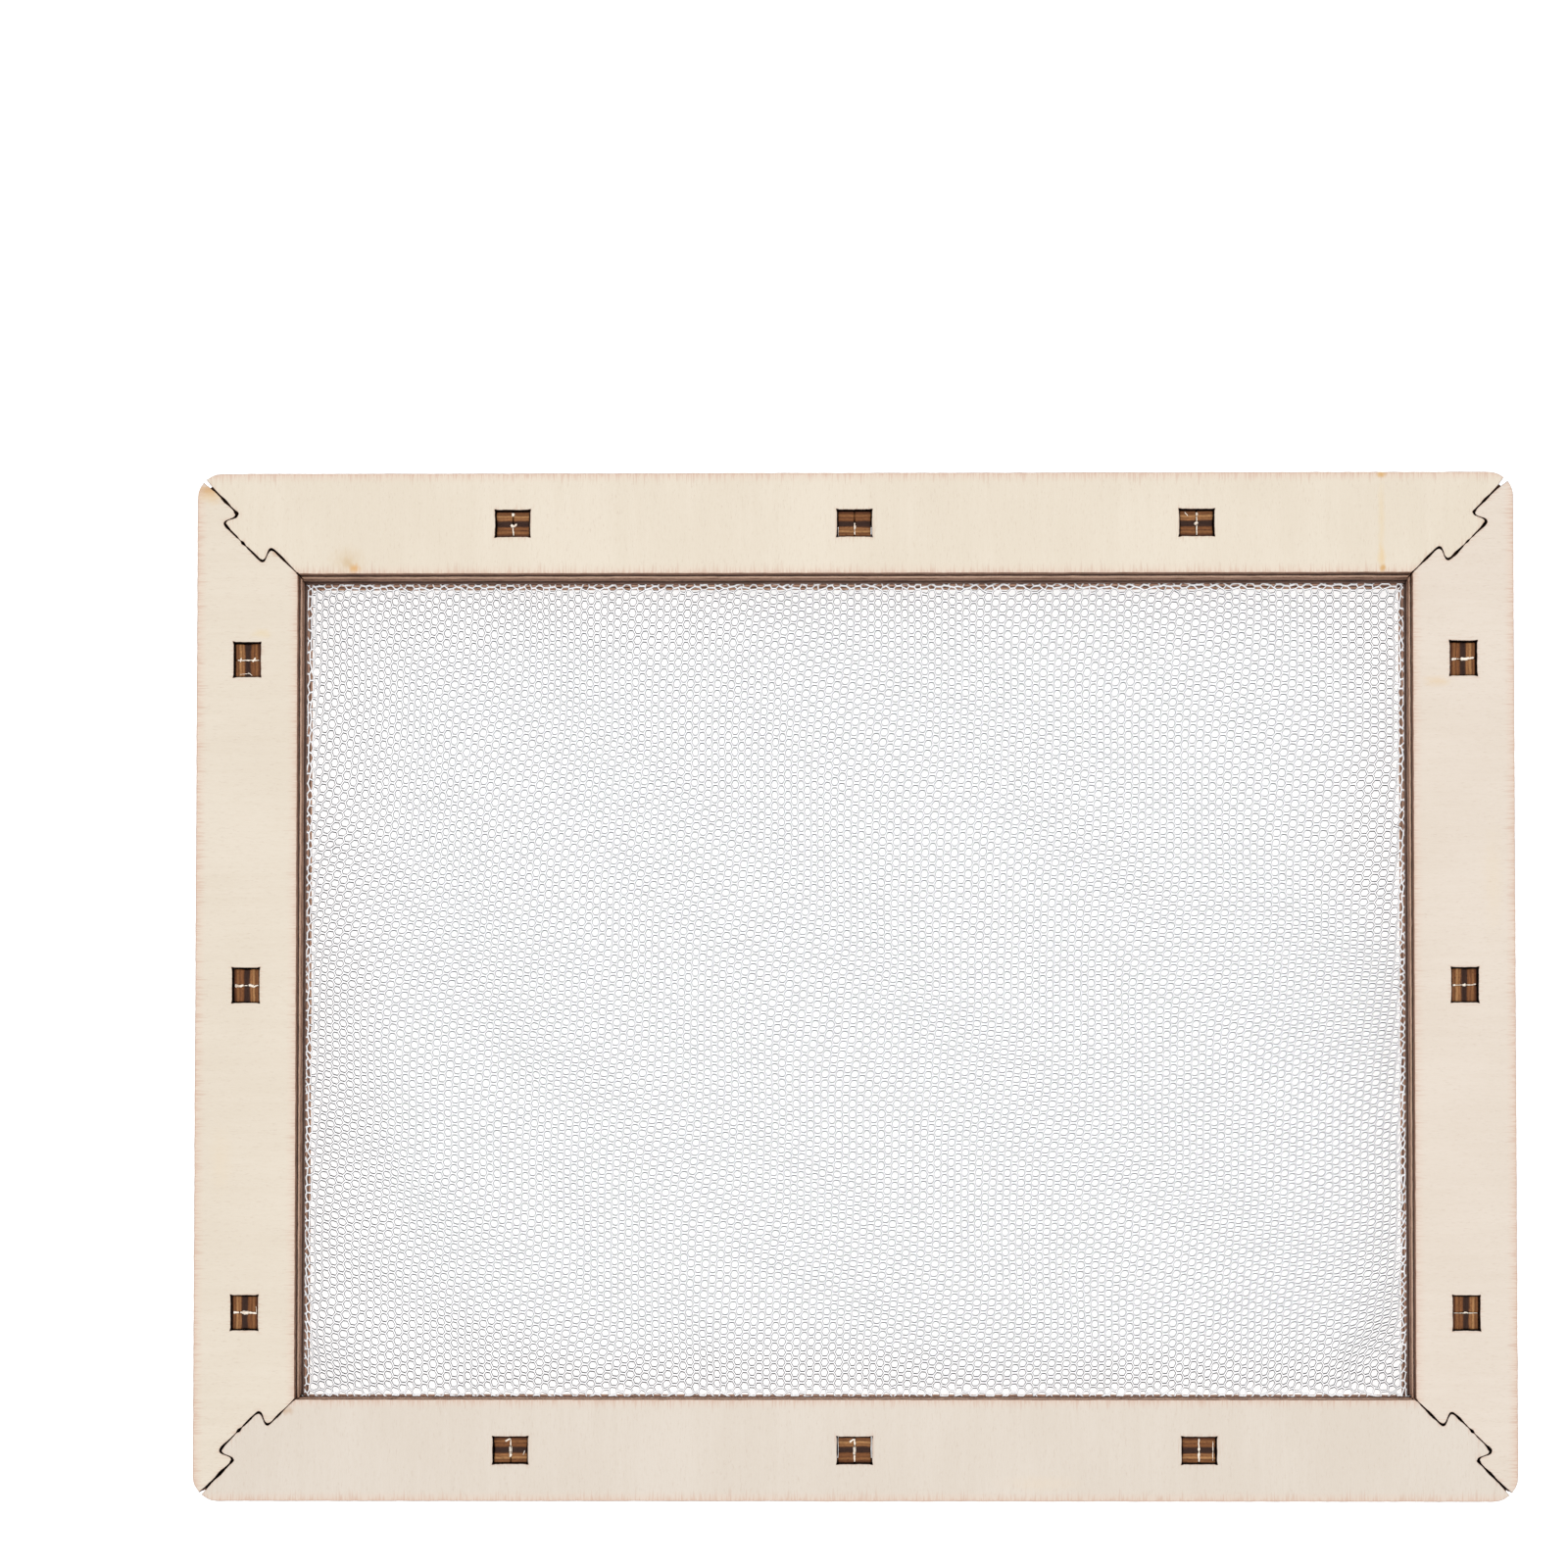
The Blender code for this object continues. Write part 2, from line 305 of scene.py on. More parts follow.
class Graph:
    """A material's nodes.  Each method returns the socket of its result."""

    def __init__(self, name):
        self.material = bpy.data.materials.new(name)
        self.material.use_nodes = True
        self.tree = self.material.node_tree
        self.shader = self.tree.nodes["Principled BSDF"]
        coordinates = self.node("ShaderNodeTexCoord")
        self.place = self.scaled(coordinates.outputs["Object"], (1 / MM,) * 3)

    def node(self, kind, **settings):
        made = self.tree.nodes.new(kind)
        for key, value in settings.items():
            setattr(made, key, value)
        return made

    def feed(self, socket, value):
        if isinstance(value, bpy.types.NodeSocket):
            self.tree.links.new(value, socket)
        else:
            socket.default_value = value

    def scaled(self, vector, factors, shift=(0.0, 0.0, 0.0)):
        made = self.node("ShaderNodeVectorMath", operation="MULTIPLY_ADD")
        self.feed(made.inputs[0], vector)
        made.inputs[1].default_value = factors
        made.inputs[2].default_value = shift
        return made.outputs[0]

    def math(self, operation, a, b=0.0, clamp=False):
        made = self.node("ShaderNodeMath", operation=operation, use_clamp=clamp)
        self.feed(made.inputs[0], a)
        self.feed(made.inputs[1], b)
        return made.outputs[0]

    def range(self, value, low, high, to_low=0.0, to_high=1.0):
        made = self.node("ShaderNodeMapRange", clamp=True, interpolation_type="SMOOTHSTEP")
        self.feed(made.inputs["Value"], value)
        for name, end in (("From Min", low), ("From Max", high), ("To Min", to_low), ("To Max", to_high)):
            made.inputs[name].default_value = end
        return made.outputs["Result"]

    def noise(self, factors, shift=0.0, detail=3.0, roughness=0.55):
        made = self.node("ShaderNodeTexNoise")
        self.feed(made.inputs["Vector"], self.scaled(self.place, factors, (shift, shift * 0.7, shift * 1.3)))
        for name, value in (("Scale", 1.0), ("Detail", detail), ("Roughness", roughness)):
            made.inputs[name].default_value = value
        return made.outputs["Fac"]

    def attribute(self, name):
        return self.node("ShaderNodeAttribute", attribute_name=name).outputs["Fac"]

    def ramp(self, factor, stops, interpolation="LINEAR"):
        made = self.node("ShaderNodeValToRGB")
        made.color_ramp.interpolation = interpolation
        elements = made.color_ramp.elements
        while len(elements) < len(stops):
            elements.new(0.5)
        for element, (place, colour) in zip(elements, stops):
            element.position = place
            element.color = (*colour, 1.0)
        self.feed(made.inputs["Fac"], factor)
        return made.outputs["Color"]

    def mix(self, factor, a, b, blend="MIX"):
        made = self.node("ShaderNodeMix", data_type="RGBA", blend_type=blend, clamp_factor=True)
        self.feed(made.inputs[0], factor)
        for socket, value in ((made.inputs[6], a), (made.inputs[7], b)):
            self.feed(socket, value if isinstance(value, bpy.types.NodeSocket) else (*value, 1.0))
        return made.outputs[2]

    def over(self, colour, value, low, high, strength, tint, blend="MIX"):
        """The colour with a tint over it, stronger as a value goes from low to high."""
        return self.mix(self.range(value, low, high, 0.0, strength), colour, tint, blend)

    def near(self, colour, distance, reach, strength, tint):
        """The colour with a tint over it, which fades out at the reach."""
        close = self.math("SUBTRACT", 1.0, self.math("DIVIDE", distance, reach), clamp=True)
        return self.mix(self.math("MULTIPLY", close, strength), colour, tint)

    def bump(self, height, strength, distance):
        made = self.node("ShaderNodeBump")
        made.inputs["Strength"].default_value = strength
        made.inputs["Distance"].default_value = distance * MM
        self.feed(made.inputs["Height"], height)
        self.feed(self.shader.inputs["Normal"], made.outputs["Normal"])

    def done(self, colour, roughness, **settings):
        self.feed(self.shader.inputs["Base Color"], colour)
        self.feed(self.shader.inputs["Roughness"], roughness)
        for name, value in settings.items():
            self.shader.inputs[name.replace("_", " ")].default_value = value
        return self.material


# Stains of the veneer: (rail, x, y, reach along x, reach along y, colour, strength)
STAINS = {
    "top": (
        (-57.1, 47.65, 0.9, 0.75, (0.74, 0.38, 0.1), 0.95),
        (-57.9, 48.3, 0.9, 0.9, (0.62, 0.44, 0.24), 0.6),
        (-57.8, 48.6, 2.6, 2, (0.7, 0.53, 0.33), 0.45),
        (60, 53, 0.55, 6.5, (0.8, 0.62, 0.36), 0.4),
        (60, 48.7, 0.6, 1.9, (0.82, 0.58, 0.28), 0.6),
        (60.1, 47.5, 0.55, 0.55, (0.66, 0.36, 0.1), 0.85),
        (60, 58.2, 0.75, 0.5, (0.7, 0.4, 0.12), 0.85),
        (71.8, 52.7, 0.6, 0.45, (0.52, 0.3, 0.16), 0.55),
    ),
    "left": (
        (-73.6, 56.6, 1.7, 0.8, (0.56, 0.27, 0.08), 0.95),
        (-73.4, 56.1, 2.4, 1.5, (0.76, 0.54, 0.3), 0.65),
        (-66, 49.4, 0.8, 0.5, (0.5, 0.27, 0.13), 0.6),
        (-67.6, 40.2, 1.6, 0.7, (0.8, 0.62, 0.34), 0.4),
        (-72, -20, 1.6, 5, (0.8, 0.66, 0.48), 0.35),
    ),
    "right": (
        (66.2, 34.6, 2, 0.8, (0.78, 0.55, 0.28), 0.4),
        (72.5, 12, 1.6, 8, (0.8, 0.66, 0.48), 0.3),
    ),
    "bottom": (
        (-64.4, -48.3, 1.2, 0.6, (0.55, 0.33, 0.18), 0.55),
        (21, -56.5, 6, 1.2, (0.8, 0.66, 0.5), 0.35),
    ),
}
BIRCH = 0.645          # how much of the light bare birch returns, beside the colours below
# Each rail's tint holds its wood's tone and painted light: the top rail is painted lighter and the bottom
# rail darker, as the light fell on them.
RAIL_TINTS_AND_SHADE = {"top": (0.805, 0.716, 0.588), "bottom": (0.745, 0.663, 0.572),
         "left": (0.785, 0.695, 0.575), "right": (0.785, 0.688, 0.588)}


def veneer(side, layer):
    """Pale birch veneer, its grain across the rail, scorched along its cut edges."""
    graph = Graph(f"veneer_{layer}_{side}")
    shift = 7.0 * SIDES.index(side) + 31.0 * LAYERS.index(layer)
    along_y = side in ("top", "bottom")

    def grain(across, along):
        return (across, along, 0.3) if along_y else (along, across, 0.3)

    def shade(factor):
        return tuple(min(1.0, c * k) for c, k in zip(tint, factor))

    # The rail's tint, with painted light in it.
    tint = RAIL_TINTS_AND_SHADE[side]
    # The wood: broad clouds, faint streaks, short fibres and pores
    broad = graph.noise(grain(0.1, 0.06), shift, 2.0)
    streaks = graph.noise(grain(1.1, 0.07), shift + 3, 4.0, 0.6)
    fibres = graph.noise(grain(9.0, 0.9), shift + 5, 3.0, 0.6)
    pores = graph.noise(grain(12.0, 1.6), shift + 9, 2.0, 0.5)
    flakes = graph.noise(grain(7.0, 2.2), shift + 11, 2.0, 0.5)
    wash = graph.math("ADD", graph.math("MULTIPLY", broad, 0.6), graph.math("MULTIPLY", streaks, 0.4))
    dull, bright = shade((0.975, 0.965, 0.95)), shade((1.015, 1.015, 1.015))
    colour = graph.mix(graph.range(wash, 0.36, 0.64), dull, bright)
    colour = graph.over(colour, fibres, 0.46, 0.72, 0.4, shade((0.93, 0.9, 0.86)))
    colour = graph.over(colour, flakes, 0.6, 0.74, 0.5, shade((1.05, 1.06, 1.08)))
    colour = graph.over(colour, pores, 0.62, 0.74, 0.35, (0.56, 0.42, 0.32))
    # Scorching: pink-brown along the rail's long edges, with ticks that run up the grain
    axis = graph.node("ShaderNodeSeparateXYZ")
    graph.feed(axis.inputs[0], graph.place)
    across = graph.math("ABSOLUTE", axis.outputs["Y" if along_y else "X"])
    outer = graph.math("SUBTRACT", HALF_Y if along_y else HALF_X, across)
    inner = graph.math("SUBTRACT", across, (HALF_Y if along_y else HALF_X) - RAIL)
    edge = graph.attribute("edge")
    for distance, density, tone, warmth in ((outer, 0.0, 0.75, 0.55), (inner, 4.0, 0.65, 0.42)):
        tick = graph.noise(grain(5.5, 0.22), shift + 13 + density, 3.0, 0.6)
        reach = graph.range(tick, 0.44, 0.74, 0.12, 1.9)
        colour = graph.near(colour, distance, reach, tone, (0.58, 0.36, 0.26))
        colour = graph.near(colour, distance, 1.1, warmth, (0.8, 0.6, 0.48))
    tick = graph.noise(grain(6.0, 0.35), shift + 23, 3.0, 0.6)
    reach = graph.range(tick, 0.44, 0.76, 0.06, 1.1)
    colour = graph.near(colour, edge, reach, 0.4, (0.6, 0.36, 0.25))
    colour = graph.near(colour, edge, 0.05, 0.8, (0.16, 0.075, 0.045))
    if layer == "front":
        ragged = graph.noise(grain(2.2, 0.8), shift + 31, 3.0, 0.65)
        for x, y, reach_x, reach_y, stain, strength in STAINS[side]:
            offset = graph.scaled(graph.place, (1 / reach_x, 1 / reach_y, 0.0),
                                  (-x / reach_x, -y / reach_y, 0.0))
            length = graph.node("ShaderNodeVectorMath", operation="LENGTH")
            graph.feed(length.inputs[0], offset)
            spread = graph.math("ADD", length.outputs["Value"], graph.math("MULTIPLY", ragged, 1.1))
            colour = graph.over(colour, spread, 1.6, 0.6, strength, stain)
    colour = graph.mix(1.0, colour, (BIRCH,) * 3, "MULTIPLY")
    height = graph.math("SUBTRACT", graph.math("MULTIPLY", fibres, 0.6), graph.range(pores, 0.6, 0.72))
    graph.bump(height, 0.3, 0.02)
    return graph.done(colour, 0.62)


# Through a sheet's cut edge, from its bottom (0) to its top (1)
EDGE_STOPS = {
    "front": (
        # The front sheet's stop at its bottom is painted shadow from the gap between the sheets.
        (0, (0.38, 0.235, 0.16)), (0.04, (0.55, 0.35, 0.25)), (0.2, (0.58, 0.37, 0.265)),
        (0.35, (0.76, 0.51, 0.365)), (0.41, (0.06, 0.023, 0.011)), (0.52, (0.036, 0.014, 0.008)),
        (0.63, (0.06, 0.023, 0.011)), (0.69, (0.13, 0.06, 0.036)), (0.8, (0.18, 0.09, 0.056)),
        (0.88, (0.3, 0.165, 0.108)), (0.96, (0.27, 0.145, 0.094)), (1, (0.13, 0.058, 0.033)),
    ),
    "middle": (
        (0, (0.27, 0.165, 0.12)), (0.12, (0.21, 0.125, 0.092)), (0.28, (0.11, 0.056, 0.04)),
        (0.36, (0.05, 0.021, 0.013)), (0.53, (0.045, 0.018, 0.011)), (0.6, (0.13, 0.064, 0.042)),
        (0.66, (0.44, 0.27, 0.19)), (0.73, (0.25, 0.135, 0.088)), (0.88, (0.36, 0.21, 0.145)),
        (1, (0.21, 0.107, 0.067)),
    ),
    "back": (
        (0, (0.34, 0.175, 0.1)), (0.05, (0.45, 0.245, 0.145)), (0.3, (0.49, 0.265, 0.165)),
        (0.34, (0.65, 0.41, 0.285)), (0.38, (0.11, 0.045, 0.024)), (0.5, (0.065, 0.027, 0.016)),
        (0.6, (0.095, 0.04, 0.023)), (0.65, (0.49, 0.275, 0.185)), (0.9, (0.57, 0.34, 0.24)),
        (1, (0.36, 0.19, 0.13)),
    ),
}
# The stack's outer sides are browner than the opening's walls: the share of each colour left there
OUTER_TINT = {"front": (0.74, 0.50, 0.30), "middle": (0.40, 0.26, 0.17), "back": (0.72, 0.50, 0.33)}


def charred_edge(layer, shift=0.0):
    """A laser-cut plywood edge: tan face plies, a burnt core, fibres and speckles."""
    graph = Graph(f"cut_edge_{layer}_{int(shift)}")
    ply = graph.attribute("ply")
    drift = graph.noise((0.55, 0.55, 0.55), shift + 2, 2.0)
    fibres = graph.noise((1.1, 1.1, 9.0), shift + 4, 4.0, 0.65)
    speckle = graph.noise((5.5, 5.5, 3.0), shift + 6, 3.0, 0.6)
    patches = graph.noise((0.22, 0.22, 0.5), shift + 8, 3.0)
    moved = graph.math("ADD", ply, graph.math("MULTIPLY", graph.math("SUBTRACT", drift, 0.5), 0.05))
    colour = graph.ramp(moved, EDGE_STOPS[layer])
    dark = graph.range(speckle, 0.52, 0.7, 0.0, 0.5)
    colour = graph.mix(dark, colour, (0.34, 0.25, 0.2), "MULTIPLY")
    colour = graph.over(colour, fibres, 0.5, 0.7, 0.45, (0.4, 0.3, 0.25), "MULTIPLY")
    colour = graph.over(colour, fibres, 0.43, 0.28, 0.25, (0.8, 0.6, 0.42))
    colour = graph.over(colour, patches, 0.52, 0.68, 0.45, (0.46, 0.38, 0.34), "MULTIPLY")
    axis = graph.node("ShaderNodeSeparateXYZ")
    graph.feed(axis.inputs[0], graph.place)
    reach = [graph.math("DIVIDE", graph.math("ABSOLUTE", axis.outputs[name]), half)
             for name, half in (("X", HALF_X), ("Y", HALF_Y))]
    outside = graph.range(graph.math("MAXIMUM", *reach), 0.93, 0.96)
    colour = graph.mix(outside, colour, OUTER_TINT[layer], "MULTIPLY")
    graph.bump(graph.math("ADD", fibres, graph.math("MULTIPLY", speckle, 0.7)), 0.6, 0.05)
    return graph.done(colour, 0.78, Specular_IOR_Level=0.12)


def soot():
    """The blackened walls of a kerf or a window, brown where the smoke was thinner."""
    graph = Graph("soot")
    patches = graph.noise((0.9, 0.9, 1.4), 3.0, 3.0, 0.6)
    grains = graph.noise((7.0, 7.0, 7.0), 5.0, 3.0, 0.6)
    colour = graph.mix(graph.range(patches, 0.45, 0.7), (0.01, 0.006, 0.005), (0.045, 0.02, 0.012))
    colour = graph.over(colour, grains, 0.55, 0.75, 0.5, (0.1, 0.045, 0.025))
    graph.bump(grains, 0.6, 0.04)
    return graph.done(colour, 0.9, Specular_IOR_Level=0.05)


def shaded_inner_veneer():
    """The faces inside the stack, painted dark brown all over: painted shade for the floor of a kerf, the
    only place they are seen.
    """
    graph = Graph("shaded_inner_veneer")
    patches = graph.noise((0.5, 0.5, 0.5), 2.0, 3.0, 0.6)
    fibres = graph.noise((6.0, 0.8, 1.0), 4.0, 3.0, 0.6)
    colour = graph.mix(patches, (0.02, 0.01, 0.007), (0.075, 0.036, 0.02))
    colour = graph.over(colour, fibres, 0.5, 0.7, 0.5, (0.13, 0.065, 0.038))
    graph.bump(fibres, 0.4, 0.03)
    return graph.done(colour, 0.85, Specular_IOR_Level=0.05)


# Across a peg's end, through its three plies
PEG_STOPS = (
    (0, (0.05, 0.018, 0.008)), (0.06, (0.17, 0.07, 0.026)), (0.12, (0.1, 0.038, 0.014)),
    (0.2, (0.32, 0.165, 0.068)), (0.26, (0.17, 0.072, 0.027)), (0.33, (0.24, 0.11, 0.043)),
    (0.37, (0.085, 0.033, 0.014)), (0.41, (0.032, 0.015, 0.01)), (0.5, (0.028, 0.013, 0.009)),
    (0.59, (0.032, 0.014, 0.009)), (0.63, (0.12, 0.046, 0.017)), (0.7, (0.17, 0.068, 0.025)),
    (0.76, (0.1, 0.037, 0.014)), (0.84, (0.2, 0.086, 0.032)), (0.93, (0.09, 0.032, 0.012)),
    (1, (0.045, 0.016, 0.008)),
)


def peg_finish(number, along_x):
    """A peg's burnt end: striated plies that run along the rail, none quite alike."""
    graph = Graph(f"peg_end_{number}")
    shift = 13.0 * number
    ply = graph.attribute("ply")
    if number % 2:
        ply = graph.math("SUBTRACT", 1.0, ply)

    def run(across, along):
        return (along, across, 2.0) if along_x else (across, along, 2.0)

    drift = graph.noise(run(0.9, 0.5), shift + 2, 2.0)
    stripes = graph.noise(run(9.0, 0.5), shift + 4, 4.0, 0.65)
    speckle = graph.noise(run(6.0, 4.0), shift + 6, 3.0, 0.6)
    moved = graph.math("ADD", ply, graph.math("MULTIPLY", graph.math("SUBTRACT", drift, 0.5), 0.1))
    moved = graph.math("ADD", moved, graph.math("MULTIPLY", graph.math("SUBTRACT", stripes, 0.5), 0.07))
    colour = graph.ramp(moved, PEG_STOPS)
    colour = graph.over(colour, stripes, 0.52, 0.68, 0.5, (0.4, 0.32, 0.27), "MULTIPLY")
    colour = graph.over(colour, stripes, 0.43, 0.28, 0.55, (2.2, 2.0, 1.9), "MULTIPLY")
    colour = graph.over(colour, speckle, 0.54, 0.7, 0.55, (0.36, 0.28, 0.24), "MULTIPLY")
    colour = graph.over(colour, speckle, 0.42, 0.3, 0.4, (1.9, 1.8, 1.7), "MULTIPLY")
    graph.bump(graph.math("ADD", stripes, speckle), 0.6, 0.05)
    return graph.done(colour, 0.75, Specular_IOR_Level=0.12)


def net_finish():
    """White nylon thread, faintly uneven, with painted shade: its sides are painted near black, darker than
    its core.
    """
    graph = Graph("net_thread")
    uneven = graph.noise((0.5, 0.5, 0.5), 1.0, 3.0)
    twist = graph.noise((6.0, 6.0, 6.0), 4.0, 2.0)
    colour = graph.mix(graph.range(uneven, 0.35, 0.65), (0.84, 0.84, 0.86), (0.92, 0.92, 0.94))
    colour = graph.over(colour, twist, 0.5, 0.75, 0.2, (0.7, 0.7, 0.73))
    # Painted shade: the thread's sides, where the flank mark is, are painted near black, scaled by the clear
    # mark.
    side = graph.range(graph.attribute("flank"), 0.36, 0.54)
    side = graph.math("MULTIPLY", side, graph.attribute("clear"))
    colour = graph.mix(side, colour, (0.02, 0.02, 0.022))
    graph.bump(twist, 0.4, 0.03)
    return graph.done(colour, 0.5, Specular_IOR_Level=0.25)


def thread_finish(name, pale, dark):
    """Thread ends and glue: lumpy, from pale to dark, with grime."""
    graph = Graph(name)
    lumps = graph.noise((3.0, 3.0, 3.0), 8.0, 3.0, 0.6)
    grime = graph.noise((6.0, 6.0, 6.0), 12.0, 3.0, 0.6)
    colour = graph.mix(graph.range(lumps, 0.45, 0.7), pale, dark)
    colour = graph.over(colour, grime, 0.6, 0.76, 0.5, (0.34, 0.2, 0.12))
    graph.bump(lumps, 0.5, 0.05)
    return graph.done(colour, 0.45, Sheen_Weight=0.1)


# ---- rails ----

def corner_place(points):
    """Points seen from their own corner: along the mitre from the outer corner, and across it."""
    inward = HALF - np.abs(points)
    return inward.sum(1) / math.sqrt(2), (inward[:, 0] - inward[:, 1]) / math.sqrt(2), inward


SEAM_FROM = 0.85       # how far inside both sides a seam's points begin
SEAM_SHORT = 0.03      # and how far from the opening they end


def in_seam(points):
    """Which points lie on a corner's seam."""
    _, _, inward = corner_place(points)
    return ((inward > SEAM_FROM) & (inward < RAIL - SEAM_SHORT)).all(1)


# How far open the V at each corner's outer tip is: (x sign, y sign): share of the cut V
TIP_OPENING = {(-1, 1): 0.40, (1, 1): 0.85, (-1, -1): 0.25, (1, -1): 0.30}
TIP_REACH = 2.6        # of that V along the mitre
TIP_WIDTH = 1.2        # and to each side of it
HALF_CLEFT = 0.1       # half the gap of the CAD model's seams
OUTLINE_STEP = 0.25    # between the points of an outline
WINDOW_STEP = 0.16     # of a window
SEAM_STEP = 0.125      # of a seam
ROUNDING = 12          # how often a seam's corners are averaged
# Where the seam is burnt wider: distance along the mitre, reach, and mm on each side
SEAM_BLOBS = ((4.4, 0.8, 0.060), (6.6, 0.5, 0.085), (11.2, 0.6, 0.060), (13.8, 0.9, 0.060))
# The same at the middle of a key's end, where it is nearly bridged twice
SEAM_BRIDGES = ((8.8, 0.18, -0.12), (9.3, 0.25, 0.09), (9.85, 0.15, -0.12))


def seam_points(loop):
    """A loop with more points in its corner seams, whose sharp corners are rounded."""
    held = in_seam(loop)
    points = []
    for i, point in enumerate(loop):
        following = loop[(i + 1) % len(loop)]
        points.append(point)
        if held[i] and held[(i + 1) % len(loop)]:
            count = max(1, math.ceil(np.linalg.norm(following - point) / SEAM_STEP))
            points += [point + (following - point) * k / count for k in range(1, count)]
    points = np.array(points)
    held = in_seam(points)
    for _ in range(ROUNDING):
        average = (np.roll(points, 1, 0) + 2 * points + np.roll(points, -1, 0)) / 4
        points = np.where(held[:, None], average, points)
    return points


def kerf_line(loop, seed, keyed):
    """A laser's uneven cut: straight along the sides, wandering and blobby in the corner seams."""
    normals = outward(loop)
    along, across, _ = corner_place(loop)
    seam = in_seam(loop)
    mitre = -np.where(loop < 0, -1.0, 1.0) / math.sqrt(2)
    flank = smoothstep((np.abs((normals * mitre).sum(1)) - 0.35) / 0.5)
    moved = []
    for (x, y), normal, s, t, held, side in zip(loop, normals, along, across, seam, flank):
        move = 0.018 * wave(x * 0.35 + seed, y * 0.35) + 0.010 * wave(x * 2.1 + seed, y * 2.1)
        if held and keyed:
            blobs = SEAM_BLOBS + (SEAM_BRIDGES if abs(t) > 1.5 else ())
            wider = sum(size * math.exp(-((s - place) / reach) ** 2) for place, reach, size in blobs)
            wider *= 1 + 1.1 * wave(x * 0.5, y * 0.5, 4.0)
            move = side * 0.075 + (1 - side) * (0.050 - wider) - 0.040 * wave(x * 0.8, y * 0.8, 9.0)
            move = min(0.088, move * min(1.0, max(0.0, (s - TIP_REACH) / 1.2)))
            move += 0.010 * wave(x * 4.5, y * 4.5, seed)
        point = np.array((x, y)) + normal * move
        if keyed and s < TIP_REACH and abs(t) < TIP_WIDTH:
            opening = TIP_OPENING[(-1 if x < 0 else 1, -1 if y < 0 else 1)]
            spread = min(1.0, abs(t) / TIP_WIDTH)
            share = opening + (1 - opening) * spread * spread * (3 - 2 * spread)
            shift = (HALF_CLEFT + (abs(t) - HALF_CLEFT) * share - abs(t)) * math.copysign(1.0, t)
            sideways = np.array((-math.copysign(1.0, x), math.copysign(1.0, y))) / math.sqrt(2)
            point = point + sideways * shift
        moved.append(point)
    return np.array(moved)


def window_line(loop, seed):
    """A peg's window: sides bowed very slightly inwards, with small round ears at the corners."""
    low, high = loop.min(0), loop.max(0)
    middle, half = (low + high) / 2, (high - low) / 2
    normals = outward(loop)
    moved = []
    for point, normal in zip(loop, normals):
        share = np.abs(point - middle) / half
        corner = min(share)
        bow = 0.05 + 0.02 * (1 - corner ** 4)
        ear = 0.055 * smoothstep(1.35 - (1 - corner) * min(half) / 0.20)
        x, y = point
        rough = 0.020 * wave(x * 2.2 + seed, y * 2.2) + 0.012 * wave(x * 6, y * 6, seed)
        moved.append(point + normal * (bow - ear + rough))
    return np.array(moved)


def rail(layer, side):
    node = f"{layer}_rail_{side}"
    low, high = box_mm(node)
    outer, *windows = outlines(node)
    seed = 11.0 * SIDES.index(side) + 5.0 * LAYERS.index(layer)
    keyed = layer != "middle"
    ring = subdivided(outer, OUTLINE_STEP)
    if keyed:
        ring = seam_points(ring)
    loops = [kerf_line(ring, seed, keyed)]
    loops += [window_line(subdivided(loop, WINDOW_STEP), seed) for loop in windows]
    sooty = np.concatenate([in_seam(ring)] + [np.ones(len(loop), bool) for loop in loops[1:]])
    plate = Plate(loops, low[2], high[2] - low[2], seed=seed, sooty=sooty)
    plate.cap(0, layer == "back")
    plate.cap(-1, layer == "front")
    # The middle sheet's faces are painted dark brown, as painted shade for the floor of a kerf.
    face = INNER_VENEER_SHADE if layer == "middle" else veneer(side, layer)
    made = plate.piece(f"{layer}_sheet_{side}", (face, CUT_EDGES[layer], SOOT))
    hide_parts(node)
    return made


# ---- the net ----

EDGE = 0.50            # a hexagon's level side
SLANT = 0.317          # how far its slanting sides go sideways
CELL = 1.11            # from one row to the next
LEVEL_WIDTH = 0.40     # across a level thread, which is twisted from two
SLANT_WIDTH = 0.275
THREAD_HEIGHT = 0.24
PULLED = 0.9           # how far from the opening's walls the net is pulled out of shape
BUNCHED = 0.34         # how far threads moved towards the walls, which packs their cells
PEG_MARGIN = 0.25      # between a peg and the net round it
END_LEFT = (0.45, 0.95)  # what a cut leaves of a thread
JITTER = 0.014         # of the knots, and how much more at the opening's walls
WALL_JITTER = 0.085
# Ripples of the net: (length along x, along y, start, size)
RIPPLES = ((47, 31, 0.4, 0.26), (23, 41, 2.1, 0.13), (17, 13, 4.4, 0.045), (9, 21, 1.3, 0.025),
           (31, 11, 5.2, 0.04))


def lattice():
    """Knots and threads of a flat-topped hexagon lattice that covers more than the net."""
    columns = int(2 * HALF_X * 1.3 / (EDGE + SLANT)) // 2 * 2
    rows = int(2 * HALF_Y * 1.3 / CELL) // 2 * 2
    i, j = np.meshgrid(np.arange(columns), np.arange(rows), indexing="ij")
    centre_x = (i - columns / 2) * (EDGE + SLANT)
    centre_y = (j + (i % 2) * 0.5 - rows / 2) * CELL
    upper = np.stack((centre_x + EDGE / 2, centre_y + CELL / 2), -1).reshape(-1, 2)
    right = np.stack((centre_x + EDGE / 2 + SLANT, centre_y), -1).reshape(-1, 2)

    def index(a, b):
        return np.where((a >= 0) & (a < columns) & (b >= 0) & (b < rows), a * rows + b, -1)

    total = columns * rows
    start = index(i, j).ravel()
    neighbours = (index(i - 1, j + 1 - (i + 1) % 2), index(i, j), index(i, j + 1))
    pairs = [np.stack((start, end.ravel() + total), 1)[end.ravel() >= 0] for end in neighbours]
    return np.vstack((upper, right)), np.vstack(pairs)


def pulled(points):
    """How much the nearest wall of the opening has bunched the net: from 0 to 1 at the wall."""
    clear = np.min(HALF - RAIL - np.abs(points), axis=1)
    return smoothstep((PULLED + 0.5 - clear) / PULLED) * smoothstep(clear + 1.5)


